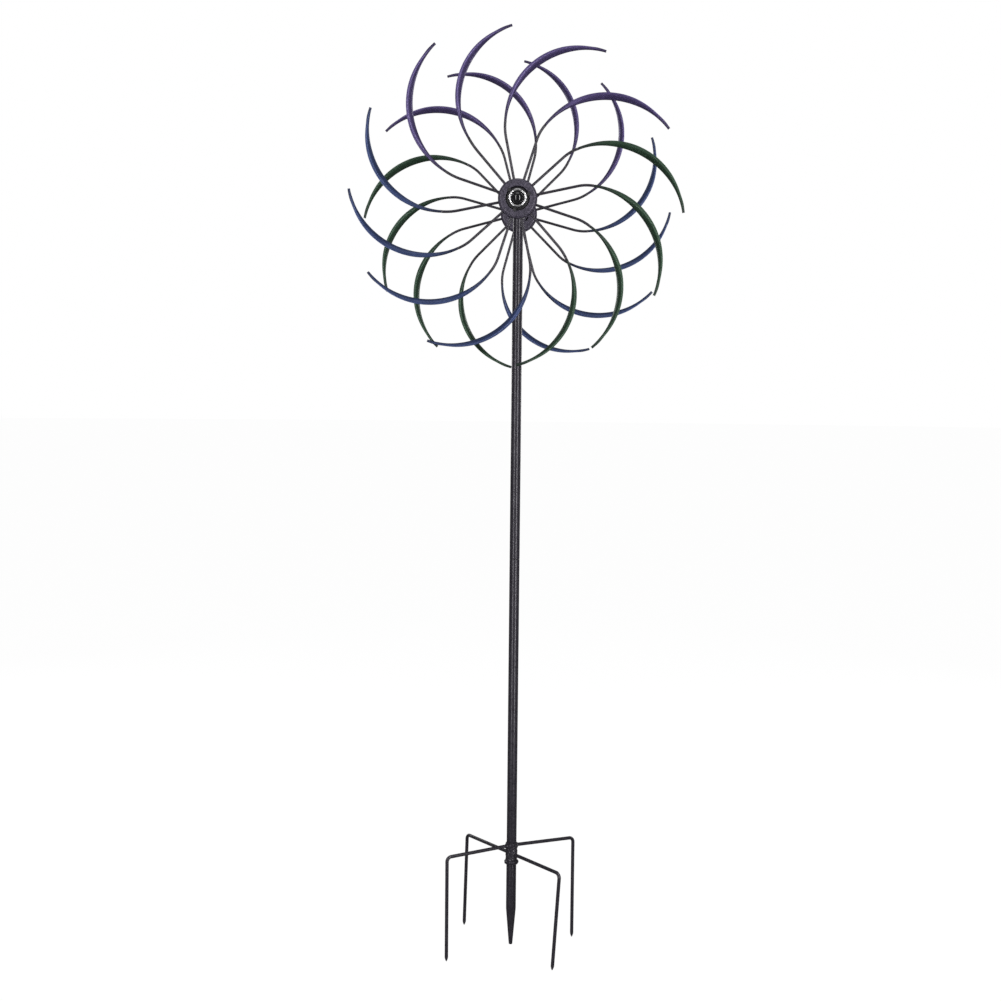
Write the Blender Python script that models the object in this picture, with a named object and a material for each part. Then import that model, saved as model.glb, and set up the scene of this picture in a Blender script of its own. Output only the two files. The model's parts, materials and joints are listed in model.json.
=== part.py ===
"""A garden wind spinner: two wheels of curved blades back to back on a pole with a forked stake.

Metres, +Z up, X to the right and -Y to the front. The origin is on the pole's axis at the soil
line, which is the underside of the fork's arms when the stake is pushed in as far as it goes.
Each wheel is modelled round its own axle centre, facing -Y, and the rear wheel is the same
wheel turned half round the pole, except that its blades bulge towards the pole. So all the
blades bulge to the front and open to the back, and the two wheels turn against each other.
"""

import math

import bmesh
import bpy
from mathutils import Matrix, Vector

# Clearance between pieces that touch or run in each other
GAP = 0.0003

# Pole, in two sections with a sleeve inside the joint
POLE_RADIUS = 0.0095
POLE_WALL = 0.0012
POLE_JOINT_HEIGHT = 0.589
POLE_EDGE_ROUND = 0.0009
COUPLER_REACH = 0.050
COUPLER_WALL = 0.0010
POLE_STEPS = 24

# Fixed axle and its housing on top of the pole
AXLE_HEIGHT = 1.2675
AXLE_RADIUS = 0.0040
HOUSING_RADIUS = 0.0120
HOUSING_HALF_LENGTH = 0.0200
SADDLE_DROP = 0.0085

# Stake and the collar that the fork is welded to
STAKE_RADIUS = 0.0095
STAKE_DEPTH = 0.180
STAKE_TAPER_START = -0.107
STAKE_TIP_RADIUS = 0.0035
SPIGOT_TOP = 0.080
COLLAR_RADIUS = 0.0115
COLLAR_TOP = 0.0262
COLLAR_LIP_RADIUS = 0.0143
COLLAR_LIP_HEIGHT = -0.0121
COLLAR_LIP_HALF = 0.0008
COLLAR_FLARE = 0.0032
COLLAR_EDGE = 0.0012
COLLAR_FOOT_RADIUS = 0.0130
COLLAR_BOTTOM = -0.0165

# Fork: two crossed rods, each with an arm and a prong at either end. The arms of the upper rod
# droop a little, and a prong's lean is outward where it is positive
FORK_ROD_RADIUS = 0.0034
FORK_BEND_RADIUS = 0.0090
FORK_BEND_STEPS = 3
FORK_STRAIGHT = 0.0160
FORK_POINT_LENGTH = 0.0095
FORK_POINT_RADIUS = 0.0007
PRONG_DEPTH = 0.190
FORK_A_ANGLE = math.radians(29.7)
FORK_A_HEIGHT = 0.0196
FORK_A_ARM = 0.142
FORK_A_DROOP = 0.0038
FORK_A_LEANS = (0.0, 0.0)
FORK_B_ANGLE = math.radians(128.0)
FORK_B_HEIGHT = 0.0034
FORK_B_ARM = 0.151
FORK_B_DROOP = 0.0
FORK_B_LEANS = (math.radians(-5.5), math.radians(2.5))

# Wheels. Distances along the axle are measured from the pole's axis, outward
WHEEL_OFFSET = 0.114
BLADE_COUNT = 12
FRONT_WHEEL_TURN = math.radians(-2.3)
REAR_WHEEL_TURN = math.radians(1.0)
SPOKE_RADIUS = 0.0025
SPOKE_LEAD = math.radians(42.0)
SPOKE_OVERLAP = 0.026
SPOKE_BEND_REACH = 0.015
SPOKE_NECK_RADIUS = 0.0015
SPOKE_NECK_START = 0.0030
SPOKE_NECK_END = 0.0010
SPIDER_RING_RADIUS = 0.0175
SPIDER_RING_HALF_WIDTH = 0.0024

# Blades: troughs bent round an arc, wide in the middle and rolled narrow at both ends. From its
# root a blade twists until its outer rim leads its inner rim by BLADE_PITCH, and stays so pitched
BLADE_TIP_RADIUS = 0.3085
BLADE_ROOT_RADIUS = 0.143
BLADE_BEND_RADIUS = 0.1408
BLADE_SHEET = 0.0006
BLADE_END_HALF_WIDTH = 0.0025
BLADE_MIDDLE_HALF_WIDTH = 0.0096
BLADE_END_DEPTH = 0.0026
BLADE_MIDDLE_DEPTH = 0.0044
BLADE_SETBACK = 0.0004
BLADE_PITCH = math.radians(60)
BLADE_TWIST_SHARE = 0.6
BLADE_SKEW = 1.12
BLADE_SWELL = 1.6
BLADE_STATIONS = 12
BLADE_COLOURS = ("purple",) * 3 + ("green",) * 4 + ("blue",) * 4 + ("purple",)

# The blades are set by hand at their welds, each a little differently. Bends are the degrees a
# blade is turned about its root, against the clock, and reaches compare it with a plain blade
FRONT_BENDS = (6.5, 2, -4, -3, -3, -1, 2.5, 0, -2, -0.5, 2.5, 2.5)
FRONT_REACHES = (0.97, 0.99, 1.01, 1.01, 1.02, 0.99, 0.96, 1, 1.01, 1.02, 1.02, 1.03)
REAR_BENDS = (-0.5, 0.5, 0.5, -3.5, -2.5, 0.5, 1, 0, -2, -3.5, -2, 0.5)
REAR_REACHES = (0.96, 0.98, 1.01, 1.03, 1, 1, 0.97, 0.97, 1.01, 0.99, 0.99, 0.97)

# Hub, along the axle from the plane of the spokes, outward
HUB_RADIUS = 0.0362
HUB_FACE_RADIUS = 0.0322
HUB_RECESS_RADIUS = 0.0220
HUB_SHEET = 0.0012
HUB_FACE = 0.0105
HUB_RIM = 0.0070
HUB_BACK_FACE = 0.0075
HUB_BACK_RIM = 0.0040
HUB_FLOOR = 0.0039
BARREL_RADIUS = 0.0140
BARREL_BORE = 0.0095
BEARING_SEAT_RADIUS = 0.0110
BARREL_START = -0.0120
BEARING_SHOULDER = 0.0027
BARREL_END = 0.0110
BEARING_WIDTH = 0.0070
INNER_RACE_RADIUS = 0.0056
OUTER_RACE_BORE = 0.0092
BALL_RADIUS = 0.0015
BALL_PITCH_RADIUS = 0.0074
BALL_COUNT = 7
CAGE_WALL = 0.0008
SPACER_RADIUS = 0.0060
BUSH_FLANGE_RADIUS = 0.0120
BUSH_FLANGE = 0.0015
BUSH_LENGTH = 0.0080
NUT_ACROSS_FLATS = 0.0130
NUT_HEIGHT = 0.0065
AXLE_END = 0.0195
DISH_SLOPE = 0.0002
NOTCH_WIDTH = 0.0068
NOTCH_START = 0.0200
NOTCH_REACH = 0.0256
SLOT_RADIUS = 0.0186
SLOT_LENGTH = 0.0110
SLOT_WIDTH = 0.0030
LUG_ANGLES = tuple(math.radians(a) for a in (138, 22, 258))
SLOT_ANGLES = tuple(math.radians(a) for a in (92, 212, 332))

# Cap over the axle's end: cup, bright bezel and dark dome
CUP_FLANGE_RADIUS = 0.0208
CUP_WALL_RADIUS = 0.0184
CUP_TOP = 0.0115
CUP_STEP = 0.0006
LUG_REACH = 0.0252
LUG_TOP = 0.0108
BEZEL_RADIUS = 0.0165
BEZEL_START = 0.0066
BEZEL_TOP = 0.0170
BEZEL_LIP_RADIUS = 0.0126
BEZEL_ROLL = 0.0012
DOME_FLANGE_RADIUS = 0.0141
DOME_RADIUS = 0.0123
DOME_CENTRE = 0.0120
DOME_WALL = 0.0013
DOME_SHOULDER = 0.0128
DOME_RINGS = 5
DOME_STEPS = 20

FINE_STEPS = 24
COARSE_STEPS = 16
SHARP_ANGLE = math.radians(35)

COLOURS = {
    "pole_coat": ((0.060, 0.056, 0.066), 0.50, 0.35),
    "hub_coat": ((0.075, 0.070, 0.085), 0.60, 0.30),
    "bare_steel": ((0.45, 0.45, 0.46), 0.35, 1.0),
    "bush_nylon": ((0.75, 0.74, 0.70), 0.55, 0.0),
    "cup_plastic": ((0.015, 0.015, 0.016), 0.55, 0.0),
    "dome_plastic": ((0.008, 0.008, 0.009), 0.12, 0.0),
    "chrome": ((0.80, 0.80, 0.81), 0.08, 1.0),
    "purple": ((0.066, 0.048, 0.155), 0.35, 0.5),
    "green": ((0.026, 0.075, 0.038), 0.35, 0.5),
    "blue": ((0.035, 0.060, 0.160), 0.35, 0.5),
}


def clear_scene():
    for obj in list(bpy.data.objects):
        bpy.data.objects.remove(obj, do_unlink=True)


def make_materials():
    made = {}
    for name, (colour, roughness, metallic) in COLOURS.items():
        material = bpy.data.materials.new(name)
        material.use_nodes = True
        shader = material.node_tree.nodes["Principled BSDF"]
        shader.inputs["Base Color"].default_value = (*colour, 1.0)
        shader.inputs["Roughness"].default_value = roughness
        shader.inputs["Metallic"].default_value = metallic
        made[name] = material
    return made


def mesh_from(bm, name):
    """Finish a bmesh as a mesh with its faces pointing out and its round sides shaded smooth."""
    bmesh.ops.recalc_face_normals(bm, faces=bm.faces)
    mesh = bpy.data.meshes.new(name)
    bm.to_mesh(mesh)
    bm.free()
    mesh.shade_smooth()
    mesh.set_sharp_from_angle(angle=SHARP_ANGLE)
    return mesh


def place(name, mesh, material, parent=None, turn=0.0, location=(0.0, 0.0, 0.0)):
    """Put a named sub-part in the scene, turned about the axle's direction."""
    if not mesh.materials:
        mesh.materials.append(material)
    obj = bpy.data.objects.new(name, mesh)
    bpy.context.scene.collection.objects.link(obj)
    obj.material_slots[0].link = "OBJECT"
    obj.material_slots[0].material = material
    obj.rotation_euler = (0.0, turn, 0.0)
    obj.location = location
    obj.parent = parent
    return obj


def empty(name, location, turn_about_z=0.0):
    obj = bpy.data.objects.new(name, None)
    bpy.context.scene.collection.objects.link(obj)
    obj.location = location
    obj.rotation_euler = (0.0, 0.0, turn_about_z)
    return obj


def turned(name, profile, steps, axis):
    """Spin a closed (radius, height) profile into a solid about the origin, along axis."""
    direction = Vector(axis)
    across = Vector((1.0, 0.0, 0.0))
    bm = bmesh.new()
    verts = [bm.verts.new(across * radius + direction * height) for radius, height in profile]
    edges = [bm.edges.new((a, b)) for a, b in zip(verts, verts[1:])]
    if profile[0][0] > 0.0:
        edges.append(bm.edges.new((verts[-1], verts[0])))
    bmesh.ops.spin(
        bm,
        geom=verts + edges,
        cent=(0.0, 0.0, 0.0),
        axis=direction,
        angle=math.tau,
        steps=steps,
        use_merge=True,
    )
    bmesh.ops.remove_doubles(bm, verts=bm.verts, dist=1e-6)
    return mesh_from(bm, name)


def upright(name, profile, steps=POLE_STEPS):
    return turned(name, profile, steps, (0.0, 0.0, 1.0))


def outward(name, profile, steps=FINE_STEPS):
    """A turned piece of the wheel facing -Y, its heights counted from the pole's axis."""
    return turned(name, profile, steps, (0.0, -1.0, 0.0))


def tube(inner, outer, start, end):
    return [(inner, start), (outer, start), (outer, end), (inner, end)]


def loft(name, rings):
    """Join a row of equal rings of points into one solid with flat ends."""
    bm = bmesh.new()
    loops = [[bm.verts.new(point) for point in ring] for ring in rings]
    for near, far in zip(loops, loops[1:]):
        for i in range(len(near)):
            j = (i + 1) % len(near)
            bm.faces.new((near[i], near[j], far[j], far[i]))
    bm.faces.new(list(reversed(loops[0])))
    bm.faces.new(loops[-1])
    return mesh_from(bm, name)


def directions(path):
    """The heading at each point of a path: along it at the ends, halfway between legs elsewhere."""
    legs = [(b - a).normalized() for a, b in zip(path, path[1:])]
    middle = [(a + b).normalized() for a, b in zip(legs, legs[1:])]
    return [legs[0]] + middle + [legs[-1]]


def rod(name, path, radii, plane_normal, sides=8):
    """A round rod along a flat path."""
    normal = Vector(plane_normal)
    rings = []
    for point, heading, radius in zip(path, directions(path), radii):
        side = heading.cross(normal)
        angles = [math.tau * (i + 0.5) / sides for i in range(sides)]
        rings.append([point + radius * (math.cos(a) * side + math.sin(a) * normal) for a in angles])
    return loft(name, rings)


def combine(mesh, other, operation):
    """Cut other from mesh, or join it on, and return mesh's new shape."""
    first = bpy.data.objects.new("work_piece", mesh)
    second = bpy.data.objects.new("work_tool", other)
    for obj in (first, second):
        bpy.context.scene.collection.objects.link(obj)
    modifier = first.modifiers.new("combine", "BOOLEAN")
    modifier.object = second
    modifier.operation = operation
    modifier.solver = "EXACT"
    bpy.context.view_layer.update()
    result = bpy.data.meshes.new_from_object(first.evaluated_get(bpy.context.evaluated_depsgraph_get()))
    result.name = mesh.name
    for obj in (first, second):
        bpy.data.objects.remove(obj, do_unlink=True)
    result.shade_smooth()
    result.set_sharp_from_angle(angle=SHARP_ANGLE)
    return result


def merged(name, meshes):
    """Several separate shells in one mesh, for use as one tool."""
    bm = bmesh.new()
    for mesh in meshes:
        bm.from_mesh(mesh)
    return mesh_from(bm, name)


def block(name, low, high, angle=0.0):
    """A box given by its corners, turned about the axle's direction."""
    bm = bmesh.new()
    bmesh.ops.create_cube(bm, size=1.0)
    size = Vector(high) - Vector(low)
    middle = (Vector(high) + Vector(low)) / 2
    bmesh.ops.transform(
        bm,
        matrix=Matrix.Rotation(-angle, 4, "Y") @ Matrix.Translation(middle) @ Matrix.Diagonal((*size, 1.0)),
        verts=bm.verts,
    )
    return mesh_from(bm, name)


# Stand


def fork_direction(angle):
    return Vector((math.cos(angle), math.sin(angle), 0.0))


def cross_hole(height, angle):
    """The tool that drills the collar and the stake for one fork rod."""
    reach = fork_direction(angle) * COLLAR_LIP_RADIUS * 1.5
    level = Vector((0.0, 0.0, height))
    radius = (FORK_ROD_RADIUS + GAP) / math.cos(math.pi / 8)
    normal = Vector((-math.sin(angle), math.cos(angle), 0.0))
    return rod("drill", [level - reach, level + reach], [radius] * 2, normal)


def drilled(mesh):
    for height, angle in ((FORK_A_HEIGHT, FORK_A_ANGLE), (FORK_B_HEIGHT, FORK_B_ANGLE)):
        mesh = combine(mesh, cross_hole(height, angle), "DIFFERENCE")
    return mesh


def ground_stake():
    spigot = POLE_RADIUS - POLE_WALL - GAP
    profile = [
        (0.0, -STAKE_DEPTH),
        (STAKE_TIP_RADIUS, -STAKE_DEPTH),
        (STAKE_RADIUS, STAKE_TAPER_START),
        (STAKE_RADIUS, COLLAR_TOP),
        (spigot, COLLAR_TOP),
        (spigot, SPIGOT_TOP),
        (0.0, SPIGOT_TOP),
    ]
    return drilled(upright("ground_stake", profile))


def fork_collar():
    bore = STAKE_RADIUS + GAP
    profile = [
        (bore, COLLAR_BOTTOM),
        (COLLAR_FOOT_RADIUS, COLLAR_BOTTOM),
        (COLLAR_LIP_RADIUS, COLLAR_LIP_HEIGHT - COLLAR_LIP_HALF),
        (COLLAR_LIP_RADIUS, COLLAR_LIP_HEIGHT + COLLAR_LIP_HALF),
        (COLLAR_RADIUS, COLLAR_LIP_HEIGHT + COLLAR_FLARE),
        (COLLAR_RADIUS, COLLAR_TOP - COLLAR_EDGE),
        (COLLAR_RADIUS - COLLAR_EDGE, COLLAR_TOP),
        (bore, COLLAR_TOP),
    ]
    return drilled(upright("fork_collar", profile))


def rounded_corner(before, corner, after, radius, steps):
    """Points of the arc that rounds a corner between two legs of a flat path."""
    back = (before - corner).normalized()
    on = (after - corner).normalized()
    half_angle = back.angle(on) / 2
    centre = corner + (back + on).normalized() * radius / math.sin(half_angle)
    start = corner + back * radius / math.tan(half_angle) - centre
    normal = on.cross(back).normalized()
    sweep = math.pi - 2 * half_angle
    return [centre + Matrix.Rotation(sweep * i / steps, 3, normal) @ start for i in range(steps + 1)]


def fork_side(side, height, angle, arm, droop, lean):
    """Half of a fork rod, from the collar along its arm and down its prong to the point."""
    along = fork_direction(angle) * side
    up = Vector((0.0, 0.0, 1.0))
    middle = along * FORK_STRAIGHT + up * height
    corner = along * arm + up * (height - droop)
    down = along * math.sin(lean) - up * math.cos(lean)
    tip = corner + down * (corner.z + PRONG_DEPTH) / math.cos(lean)
    bend = rounded_corner(middle, corner, tip, FORK_BEND_RADIUS, FORK_BEND_STEPS)
    return [middle] + bend + [tip - down * FORK_POINT_LENGTH, tip]


def fork_rod(name, height, angle, arm, droop, leans):
    """Two arms and two prongs, bent from one rod."""
    near = fork_side(-1, height, angle, arm, droop, leans[0])
    far = fork_side(1, height, angle, arm, droop, leans[1])
    path = near[::-1] + far
    radii = [FORK_ROD_RADIUS] * len(path)
    radii[0] = radii[-1] = FORK_POINT_RADIUS
    return rod(name, path, radii, (-math.sin(angle), math.cos(angle), 0.0))


def pole_section(name, bottom, top, round_bottom, round_top):
    """A tube with its outer edge rounded where two sections meet."""
    bore = POLE_RADIUS - POLE_WALL
    profile = [(bore, bottom)]
    if round_bottom:
        profile += [(POLE_RADIUS - POLE_EDGE_ROUND, bottom), (POLE_RADIUS, bottom + POLE_EDGE_ROUND)]
    else:
        profile += [(POLE_RADIUS, bottom)]
    if round_top:
        profile += [(POLE_RADIUS, top - POLE_EDGE_ROUND), (POLE_RADIUS - POLE_EDGE_ROUND, top)]
    else:
        profile += [(POLE_RADIUS, top)]
    profile += [(bore, top)]
    return upright(name, profile)


def upper_pole():
    """The upper section, its top cut to saddle the axle housing."""
    section = pole_section("upper_pole", POLE_JOINT_HEIGHT + GAP, AXLE_HEIGHT - SADDLE_DROP, True, False)
    reach = POLE_RADIUS * 2
    cutter = outward("saddle", tube(0.0, HOUSING_RADIUS + GAP, -reach, reach))
    cutter.transform(Matrix.Translation((0.0, 0.0, AXLE_HEIGHT)))
    return combine(section, cutter, "DIFFERENCE")


def pole_coupler():
    outer = POLE_RADIUS - POLE_WALL - GAP
    bottom = POLE_JOINT_HEIGHT - COUPLER_REACH
    top = POLE_JOINT_HEIGHT + COUPLER_REACH
    return upright("pole_coupler", tube(outer - COUPLER_WALL, outer, bottom, top), COARSE_STEPS)


def axle_housing():
    half = HOUSING_HALF_LENGTH
    edge = 0.0008
    profile = [
        (AXLE_RADIUS + GAP, -half),
        (HOUSING_RADIUS - edge, -half),
        (HOUSING_RADIUS, -half + edge),
        (HOUSING_RADIUS, half - edge),
        (HOUSING_RADIUS - edge, half),
        (AXLE_RADIUS + GAP, half),
    ]
    return outward("axle_housing", profile)


def axle():
    end = WHEEL_OFFSET + AXLE_END
    edge = 0.0007
    profile = [
        (0.0, -end),
        (AXLE_RADIUS - edge, -end),
        (AXLE_RADIUS, edge - end),
        (AXLE_RADIUS, end - edge),
        (AXLE_RADIUS - edge, end),
        (0.0, end),
    ]
    return outward("axle", profile, COARSE_STEPS)


def make_stand(materials):
    coat = materials["pole_coat"]
    centre = (0.0, 0.0, AXLE_HEIGHT)
    place("ground_stake", ground_stake(), coat)
    place("fork_collar", fork_collar(), coat)
    rod_a = fork_rod("fork_rod_a", FORK_A_HEIGHT, FORK_A_ANGLE, FORK_A_ARM, FORK_A_DROOP, FORK_A_LEANS)
    rod_b = fork_rod("fork_rod_b", FORK_B_HEIGHT, FORK_B_ANGLE, FORK_B_ARM, FORK_B_DROOP, FORK_B_LEANS)
    place("fork_rod_a", rod_a, coat)
    place("fork_rod_b", rod_b, coat)
    place("lower_pole", pole_section("lower_pole", COLLAR_TOP + GAP, POLE_JOINT_HEIGHT, False, True), coat)
    place("pole_coupler", pole_coupler(), materials["bare_steel"])
    place("upper_pole", upper_pole(), coat)
    place("axle_housing", axle_housing(), coat, location=centre)
    place("axle", axle(), materials["bare_steel"], location=centre)


# Wheels. Every piece is made facing -Y, and both wheels share the hub's pieces


def from_pole(height):
    """Distance along the axle, outward from the pole, of a height over the plane of the spokes."""
    return WHEEL_OFFSET + height


def in_wheel(radius, angle, height=0.0):
    """A point of the wheel: angle runs from +X towards +Z as seen from outside."""
    return Vector((radius * math.cos(angle), -from_pole(height), radius * math.sin(angle)))


class BladeArc:
    """The arc of one blade's centre line, from its root by a spoke to its tip straight above the axle."""

    def __init__(self):
        tip_angle = math.pi / 2
        self.root = in_wheel(BLADE_ROOT_RADIUS, tip_angle + SPOKE_LEAD)
        tip = in_wheel(BLADE_TIP_RADIUS, tip_angle)
        chord = tip - self.root
        middle = (tip + self.root) / 2
        across = Vector((chord.z, 0.0, -chord.x)).normalized()
        inset = math.sqrt(BLADE_BEND_RADIUS**2 - (chord.length / 2) ** 2)
        self.centre = middle + across * inset
        self.sweep = 2 * math.asin(chord.length / 2 / BLADE_BEND_RADIUS)
        self.start = math.atan2(self.root.z - self.centre.z, self.root.x - self.centre.x)

    def outward_at(self, share):
        """The direction from the arc's centre at a share of the way to the tip."""
        angle = self.start - self.sweep * share
        return Vector((math.cos(angle), 0.0, math.sin(angle)))

    def point_at(self, share):
        return self.centre + self.outward_at(share) * BLADE_BEND_RADIUS

    def length(self):
        return self.sweep * BLADE_BEND_RADIUS


def trough_section(half_width, depth):
    """A half ellipse of sheet, open upwards: down its outside and back along its inside."""
    angles = [math.radians(a) for a in (-90, -30, 30, 90)]
    outside = [(half_width * math.sin(a), -depth * math.cos(a)) for a in angles]
    inner_width = half_width - BLADE_SHEET
    inner_depth = depth - BLADE_SHEET
    inside = [(inner_width * math.sin(a), -inner_depth * math.cos(a)) for a in reversed(angles)]
    return outside + inside


def blade_swell(share):
    """How far the blade is from its narrow ends, 0, to its widest, 1, just past its middle."""
    return math.sin(math.pi * share**BLADE_SKEW) ** BLADE_SWELL


def blade_pitch(share):
    return BLADE_PITCH * math.sin(math.pi / 2 * min(1.0, share / BLADE_TWIST_SHARE))


def blade(hand):
    """A trough that bulges to one side of its wheel, its outer rim leading to that side. Hand is 1
    where this is the side away from the pole, and -1 where it is the pole's side."""
    arc = BladeArc()
    leading_side = Vector((0.0, -hand, 0.0))
    rings = []
    for i in range(BLADE_STATIONS):
        share = i / (BLADE_STATIONS - 1)
        swell = blade_swell(share)
        half_width = BLADE_END_HALF_WIDTH + (BLADE_MIDDLE_HALF_WIDTH - BLADE_END_HALF_WIDTH) * swell
        depth = BLADE_END_DEPTH + (BLADE_MIDDLE_DEPTH - BLADE_END_DEPTH) * swell
        pitch = blade_pitch(share)
        across = arc.outward_at(share) * math.cos(pitch) + leading_side * math.sin(pitch)
        up = arc.outward_at(share) * math.sin(pitch) - leading_side * math.cos(pitch)
        middle = arc.point_at(share) - up * BLADE_SETBACK
        rings.append([middle + across * x + up * y for x, y in trough_section(half_width, depth)])
    return loft("blade", rings)


def blade_setting(bend, reach):
    """How one blade differs from the plain blade: turned and lengthened about its root."""
    root = BladeArc().root
    bent = Matrix.Rotation(-math.radians(bend), 4, "Y")
    lengthened = Matrix.Diagonal((reach, 1.0, reach, 1.0))
    return Matrix.Translation(root) @ bent @ lengthened @ Matrix.Translation(-root)


def set_blade(blade_mesh, setting):
    mesh = blade_mesh.copy()
    mesh.transform(setting)
    return mesh


def spoke_path(setting):
    """The full-size part of one spoke: straight out from the axle, then bent into line with its
    blade's root. It comes with the heading at the root."""
    arc = BladeArc()
    axle_centre = in_wheel(0.0, 0.0)
    heading = (setting @ arc.point_at(0.02) - arc.root).normalized()
    end = arc.root - heading * SPOKE_NECK_START
    corner = end - heading * SPOKE_BEND_REACH
    out = (corner - axle_centre).normalized()
    start = axle_centre + out * (BARREL_RADIUS + GAP + SPIDER_RING_RADIUS) / 2
    bend_start = corner - out * SPOKE_BEND_REACH
    bend_middle = (bend_start + 2 * corner + end) / 4
    return [start, bend_start, bend_middle, end], heading


def spoke_spider(settings):
    """Twelve rods on one ring. The thin end of each follows its blade inside the trough."""
    arc = BladeArc()
    overlap = SPOKE_OVERLAP / arc.length()
    spokes = []
    for i, setting in enumerate(settings):
        path, heading = spoke_path(setting)
        neck = [arc.root - heading * SPOKE_NECK_END]
        neck += [setting @ arc.point_at(overlap * share) for share in (0.25, 0.6, 1.0)]
        radii = [SPOKE_RADIUS] * len(path) + [SPOKE_NECK_RADIUS] * len(neck)
        spoke = rod("spoke", path + neck, radii, (0.0, -1.0, 0.0))
        spoke.transform(Matrix.Rotation(math.tau * i / BLADE_COUNT, 4, "Y"))
        spokes.append(spoke)
    low = from_pole(-SPIDER_RING_HALF_WIDTH)
    high = from_pole(SPIDER_RING_HALF_WIDTH)
    ring = outward("spoke_spider", tube(BARREL_RADIUS + GAP, SPIDER_RING_RADIUS, low, high))
    return combine(ring, merged("spokes", spokes), "UNION")


def outer_plate():
    """A dished disc with a bevelled rim, a recess round the barrel and notches for the cap's lugs."""
    hole = BARREL_RADIUS + GAP
    face = from_pole(HUB_FACE)
    rim = from_pole(HUB_RIM)
    floor = from_pole(HUB_FLOOR)
    profile = [
        (hole, floor - HUB_SHEET),
        (HUB_RECESS_RADIUS + HUB_SHEET - DISH_SLOPE, floor - HUB_SHEET),
        (HUB_RECESS_RADIUS + HUB_SHEET, face - HUB_SHEET),
        (HUB_FACE_RADIUS - DISH_SLOPE, face - HUB_SHEET),
        (HUB_RADIUS, rim - HUB_SHEET),
        (HUB_RADIUS, rim),
        (HUB_FACE_RADIUS, face),
        (HUB_RECESS_RADIUS + DISH_SLOPE, face),
        (HUB_RECESS_RADIUS - DISH_SLOPE, floor),
        (hole, floor),
    ]
    plate = outward("hub_outer_plate", profile)
    low = (NOTCH_START, -from_pole(HUB_FACE * 2), -NOTCH_WIDTH / 2)
    high = (NOTCH_REACH, -from_pole(0.0), NOTCH_WIDTH / 2)
    for angle in LUG_ANGLES:
        plate = combine(plate, block("notch", low, high, angle), "DIFFERENCE")
    return plate


def inner_plate():
    """The matching disc on the pole's side, with three slots."""
    hole = BARREL_RADIUS + GAP
    face = from_pole(-HUB_BACK_FACE)
    rim = from_pole(-HUB_BACK_RIM)
    profile = [
        (hole, face),
        (HUB_FACE_RADIUS, face),
        (HUB_RADIUS, rim),
        (HUB_RADIUS, rim + HUB_SHEET),
        (HUB_FACE_RADIUS - DISH_SLOPE, face + HUB_SHEET),
        (hole, face + HUB_SHEET),
    ]
    plate = outward("hub_inner_plate", profile)
    low = (SLOT_RADIUS - SLOT_WIDTH / 2, -from_pole(0.0), -SLOT_LENGTH / 2)
    high = (SLOT_RADIUS + SLOT_WIDTH / 2, -from_pole(-HUB_BACK_FACE * 2), SLOT_LENGTH / 2)
    for angle in SLOT_ANGLES:
        plate = combine(plate, block("slot", low, high, angle), "DIFFERENCE")
    return plate


def hub_barrel():
    """The tube of the hub, bored wider at its outer end to seat the bearing on a shoulder."""
    profile = [
        (BARREL_BORE, from_pole(BARREL_START)),
        (BARREL_RADIUS, from_pole(BARREL_START)),
        (BARREL_RADIUS, from_pole(BARREL_END)),
        (BEARING_SEAT_RADIUS, from_pole(BARREL_END)),
        (BEARING_SEAT_RADIUS, from_pole(BEARING_SHOULDER)),
        (BARREL_BORE, from_pole(BEARING_SHOULDER)),
    ]
    return outward("hub_barrel", profile)


def race(name, inner, outer):
    start = from_pole(BEARING_SHOULDER + GAP)
    return outward(name, tube(inner, outer, start, start + BEARING_WIDTH), COARSE_STEPS)


def ball_cage():
    """The bearing's balls, held in one ring."""
    middle = from_pole(BEARING_SHOULDER + GAP + BEARING_WIDTH / 2)
    inner = BALL_PITCH_RADIUS - CAGE_WALL / 2
    band = tube(inner, inner + CAGE_WALL, middle - BALL_RADIUS, middle + BALL_RADIUS)
    ring = outward("bearing_ball_cage", band, COARSE_STEPS)
    balls = []
    for i in range(BALL_COUNT):
        angle = math.tau * i / BALL_COUNT
        bm = bmesh.new()
        bmesh.ops.create_icosphere(bm, subdivisions=1, radius=BALL_RADIUS)
        centre = Vector((BALL_PITCH_RADIUS * math.cos(angle), -middle, BALL_PITCH_RADIUS * math.sin(angle)))
        bmesh.ops.translate(bm, verts=bm.verts, vec=centre)
        balls.append(mesh_from(bm, "ball"))
    return combine(ring, merged("balls", balls), "UNION")


def hub_bush():
    """A flanged bush in the barrel's pole end, running on the spacer tube."""
    bore = SPACER_RADIUS + GAP
    sleeve = BARREL_BORE - GAP
    barrel_face = from_pole(BARREL_START) - GAP
    profile = [
        (bore, barrel_face - BUSH_FLANGE),
        (BUSH_FLANGE_RADIUS, barrel_face - BUSH_FLANGE),
        (BUSH_FLANGE_RADIUS, barrel_face),
        (sleeve, barrel_face),
        (sleeve, barrel_face + BUSH_LENGTH),
        (bore, barrel_face + BUSH_LENGTH),
    ]
    return outward("hub_bush", profile, COARSE_STEPS)


def spacer_tube():
    """The sleeve on the axle from the housing to the bearing's inner race."""
    profile = tube(AXLE_RADIUS + GAP, SPACER_RADIUS, HOUSING_HALF_LENGTH + GAP, from_pole(BEARING_SHOULDER))
    return outward("spacer_tube", profile, COARSE_STEPS)


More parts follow.
